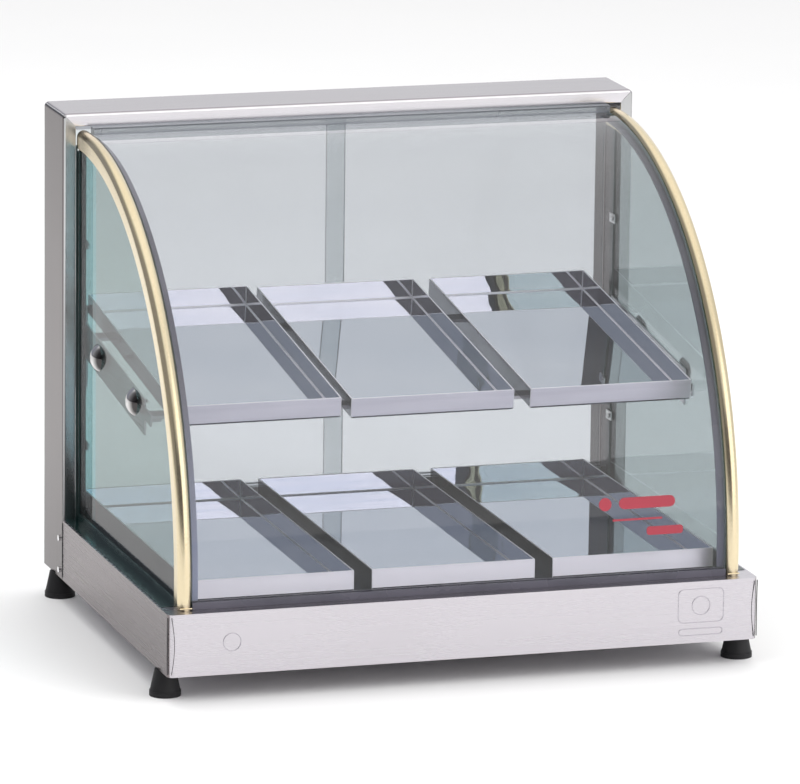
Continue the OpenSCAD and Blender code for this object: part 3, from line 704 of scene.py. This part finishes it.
def adopt(name, mesh, look):
    """A new piece with this mesh, look and slot."""
    mesh.materials.append(LOOKS[look])
    piece = new_object(name, mesh)
    return piece


def bead(name, points, radius, look, closed=False):
    """A round bead along a line of points."""
    curve = bpy.data.curves.new(name, "CURVE")
    curve.dimensions = "3D"
    curve.bevel_depth = radius
    curve.bevel_resolution = 3
    curve.use_fill_caps = True
    spline = curve.splines.new("POLY")
    spline.points.add(len(points) - 1)
    for point, place in zip(spline.points, points):
        point.co = (*place, 1.0)
    spline.use_cyclic_u = closed
    line = bpy.data.objects.new(name + "_line", curve)
    mesh = bpy.data.meshes.new_from_object(line)
    bpy.data.objects.remove(line)
    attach(adopt(name, mesh, look), "root")


def rounded_outline(width, height, radius):
    """Points round a rectangle with round corners, centred on the origin."""
    wide, high = width / 2 - radius, height / 2 - radius
    return (arc(wide, high, radius, 0, 90) + arc(-wide, high, radius, 90, 180)
            + arc(-wide, -high, radius, 180, 270) + arc(wide, -high, radius, 270, 360))


EMBOSSING = 0.45 * MM


def emboss(name, x, z, width, height, radius):
    """A raised outline on the front of the base."""
    outline = rounded_outline(width, height, radius)
    line = [(x + across, base_low[Y], z + up) for across, up in outline]
    bead(name, line, EMBOSSING, "embossing_shaded", closed=True)


emboss("embossed_badge", x=0.257, z=0.068, width=0.05, height=0.036, radius=0.006)
emboss("embossed_badge_ring", x=0.257, z=0.068, width=0.02, height=0.02, radius=0.01)
emboss("embossed_bar", x=0.257, z=0.04, width=0.048, height=0.007, radius=0.0035)
emboss("embossed_disc", x=-0.252, z=0.062, width=0.019, height=0.019, radius=0.0095)

GLASS_CENTRE_Y = 0.163
GLASS_CENTRE_Z = 0.116
GLASS_RADIUS = 0.4
PRINT_THICKNESS = 0.15 * MM


def flat_plate(name, outline, thickness):
    """A thin plate: its outline lies in X and Z, and it is as thick as given towards the front."""
    shape = bmesh.new()
    rear = [shape.verts.new((x, 0.0, z)) for x, z in outline]
    face = shape.faces.new(rear)
    front = bmesh.ops.extrude_face_region(shape, geom=[face])["geom"]
    moved = [part for part in front if isinstance(part, bmesh.types.BMVert)]
    bmesh.ops.translate(shape, verts=moved, vec=(0.0, -thickness, 0.0))
    return finished(shape, name, smooth=False)


def printed(name, x, z, width, height, radius):
    """A red printed shape on the outside of the front glass."""
    rise = math.asin((z - GLASS_CENTRE_Z) / GLASS_RADIUS)
    mesh = flat_plate(name, rounded_outline(width, height, radius), PRINT_THICKNESS)
    piece = adopt(name, mesh, "red_print")
    reach = GLASS_RADIUS + ABOVE_SKIN
    forward, up = reach * math.cos(rise), reach * math.sin(rise)
    place = Vector((x, GLASS_CENTRE_Y - forward, GLASS_CENTRE_Z + up))
    piece.matrix_world = Matrix.Translation(place) @ Matrix.Rotation(-rise, 4, "X")
    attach(piece, "root")


printed("print_disc", x=0.157, z=0.177, width=0.014, height=0.014, radius=0.007)
printed("print_bar", x=0.203, z=0.177, width=0.062, height=0.012, radius=0.006)
printed("print_line", x=0.192, z=0.16, width=0.055, height=0.0022, radius=0.0011)
printed("print_tab", x=0.222, z=0.147, width=0.04, height=0.009, radius=0.003)


SEAM_STEPS = 12
SEAM_MARGIN = 3.0 * MM
SEAM_BOW = 3.2 * MM
FRONT_SEAM_INSET = 3.6 * MM
SIDE_SEAM_INSET = 2.6 * MM


def seams():
    """The bowed seams at the base's front corners, and dark beads in the gaps between its sides and the
    posts, painted shadow in those gaps.
    """
    span = [step / SEAM_STEPS for step in range(SEAM_STEPS + 1)]
    low, high = base_low[Z] + SEAM_MARGIN, base_high[Z] - SEAM_MARGIN
    bowed = [(SEAM_BOW * math.sin(math.pi * share), low + (high - low) * share) for share in span]
    corner = base_high[X] - FRONT_SEAM_INSET
    for side, word in SIDES:
        front = [(side * (corner - inward), base_low[Y], up) for inward, up in bowed]
        bead("front_seam_" + word, front, 0.35 * MM, "seam")
        beside = [(side * base_high[X], base_low[Y] + SIDE_SEAM_INSET + inward / 4, up)
                  for inward, up in bowed]
        bead("side_seam_" + word, beside, 0.55 * MM, "seam")
        # painted shadow: a dark bead down the gap between the base's side and the post
        post_front = level_box(nodes["rear_post_" + word])[0][Y]
        gap = [(side * base_high[X], post_front, up) for inward, up in bowed]
        bead("post_gap_shadow_" + word, gap, 0.8 * MM, "seam")


seams()

COLLAR_STEPS = 6
COLLAR_INSET = 1.0 * MM
COLLAR_RISE = 2.2 * MM
COLLAR_FRONT = GLASS_CENTRE_Y - GLASS_RADIUS - 4 * MM + 0.3 * MM


def collars():
    """The gold bands where the edge covers stand on the base."""
    for word in ("left", "right"):
        low, high = level_box(nodes["edge_trim_" + word])
        width = high[X] - low[X] - 2 * COLLAR_INSET
        across = [low[X] + COLLAR_INSET + width * step / COLLAR_STEPS for step in range(COLLAR_STEPS + 1)]
        band = [(x, COLLAR_FRONT, base_high[Z] + COLLAR_RISE) for x in across]
        bead("trim_collar_" + word, band, 0.8 * MM, "gold_trim")


collars()

LEDGE_MARGIN = 2.2 * MM
LEDGE_ROUND = 1.5 * MM
LEDGE_THICKNESS = 0.4 * MM


def ledges():
    """Thin dark plates along the top of the base's sides, beside the side panes' gaskets."""
    for side, word in SIDES:
        low, high = level_box(nodes["side_gasket_" + word])
        inner = max(abs(low[X]), abs(high[X])) + ABOVE_SKIN
        width = base_high[X] - LEDGE_MARGIN - inner
        name = "ledge_dark_plate_" + word
        mesh = flat_plate(name, rounded_outline(width, high[Y] - low[Y], LEDGE_ROUND), LEDGE_THICKNESS)
        piece = adopt(name, mesh, "ledge")
        middle = (low[Y] + high[Y]) / 2
        place = Vector((side * (inner + width / 2), middle, base_high[Z] + ABOVE_SKIN / 2))
        piece.matrix_world = Matrix.Translation(place) @ Matrix.Rotation(math.radians(-90), 4, "X")
        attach(piece, "root")


ledges()

PACKING_RADIUS = 1.0 * MM
PACKING_OVER_GASKET = 6.0 * MM


def post_packings():
    """The dark packing in the gap between each side pane's gasket and its post."""
    for side, word in SIDES:
        post_low, post_high = level_box(nodes["rear_post_" + word])
        gasket_low, gasket_high = level_box(nodes["side_gasket_" + word])
        post_inner = min(abs(post_low[X]), abs(post_high[X]))
        gasket_outer = max(abs(gasket_low[X]), abs(gasket_high[X]))
        across = side * (post_inner + gasket_outer) / 2
        ends = [(across, post_low[Y] - PACKING_RADIUS, up)
                for up in (base_high[Z], gasket_high[Z] + PACKING_OVER_GASKET)]
        bead("post_packing_" + word, ends, PACKING_RADIUS, "ledge")


post_packings()

LIP_RADIUS = 0.9 * MM


def beam_gap_shadow():
    """A dark line under the top beam, along the upper edge of the glass: painted shadow in the gap
    between them.
    """
    low, high = level_box(nodes["top_seal"])
    # painted shadow: a dark bead along the gap between the beam and the glass
    ends = [(x, low[Y] + LIP_RADIUS, high[Z] - LIP_RADIUS)
            for x in (low[X] + LIP_RADIUS, high[X] - LIP_RADIUS)]
    bead("beam_gap_shadow", ends, LIP_RADIUS, "seam")


beam_gap_shadow()


# ---------- floor, light and surroundings ----------

FLOOR_RADIUS = 40.0


def make_floor():
    """A plain pale floor."""
    mesh = bpy.data.meshes.new("floor")
    shape = bmesh.new()
    bmesh.ops.create_circle(shape, cap_ends=True, segments=96, radius=FLOOR_RADIUS)
    shape.to_mesh(mesh)
    shape.free()
    floor = new_object("floor", mesh)
    material, tree, output = new_tree("floor_look")
    tone = blend_colours(tree, cloud(tree, 3.0, 3.0), (0.86, 0.86, 0.86), (0.88, 0.88, 0.88))
    principled(tree, output, {"Base Color": tone, "Roughness": 0.7})
    mesh.materials.append(material)


def patch(tree, direction, towards, wide, soft):
    """1 within wide degrees of a direction, falling to 0 over soft degrees more."""
    unit = Vector(towards).normalized()
    near = add(tree, "VectorMath", {0: direction, 1: unit}, operation="DOT_PRODUCT").outputs["Value"]
    inner = math.cos(math.radians(wide))
    outer = math.cos(math.radians(wide + soft))
    return remap(tree, near, 0.0, 1.0, outer, inner)


ROOM = (0.8, 0.81, 0.84)
# each patch's direction, its width and soft border in degrees, and its colour
ROOM_PATCHES = (
    ((0.0, 0.2, 1.0), 25.0, 40.0, (1.25, 1.24, 1.22)),
    ((0.35, 0.93, 0.2), 18.0, 20.0, (1.0, 1.01, 1.03)),
    ((-0.5, 0.8, 0.2), 24.0, 12.0, (0.3, 0.32, 0.38)),
    ((-1.0, -0.1, 0.2), 40.0, 20.0, (0.3, 0.3, 0.32)),
    ((0.45, -0.88, 0.25), 30.0, 10.0, (1.75, 1.73, 1.71)),
    ((-0.72, -0.67, 0.12), 16.0, 6.0, (0.1, 0.1, 0.11)),
    ((-0.3, -0.93, 0.2), 17.0, 1.5, (0.06, 0.055, 0.07)),
)


def make_world():
    """A pale room: bright above and in front on the right, with dark patches to the left."""
    world = bpy.data.worlds.new("studio")
    bpy.context.scene.world = world
    world.use_nodes = True
    tree = world.node_tree
    tree.nodes.clear()
    output = tree.nodes.new("ShaderNodeOutputWorld")
    direction = add(tree, "TexCoord").outputs["Generated"]
    light = ROOM
    for towards, wide, soft, colour in ROOM_PATCHES:
        light = blend_colours(tree, patch(tree, direction, towards, wide, soft), light, colour)
    background = add(tree, "Background", {"Color": light, "Strength": 1.0})
    tree.links.new(background.outputs[0], output.inputs[0])


def softbox(name, place, size, power):
    """A square area light aimed at the middle of the case."""
    data = bpy.data.lights.new(name, "AREA")
    data.size = size
    data.energy = power
    lamp = new_object(name, data)
    lamp.location = place
    lamp.rotation_euler = (Vector(place) - CAMERA_TARGET).to_track_quat("Z", "Y").to_euler()
    lamp.visible_glossy = False


make_floor()
make_world()
softbox("key", (1.8, -2.2, 2.6), size=2.0, power=40.0)
softbox("fill", (-2.4, -0.6, 2.2), size=2.2, power=26.0)
softbox("top", (-0.3, 1.4, 3.0), size=2.4, power=40.0)
bpy.context.scene.view_settings.view_transform = "Standard"
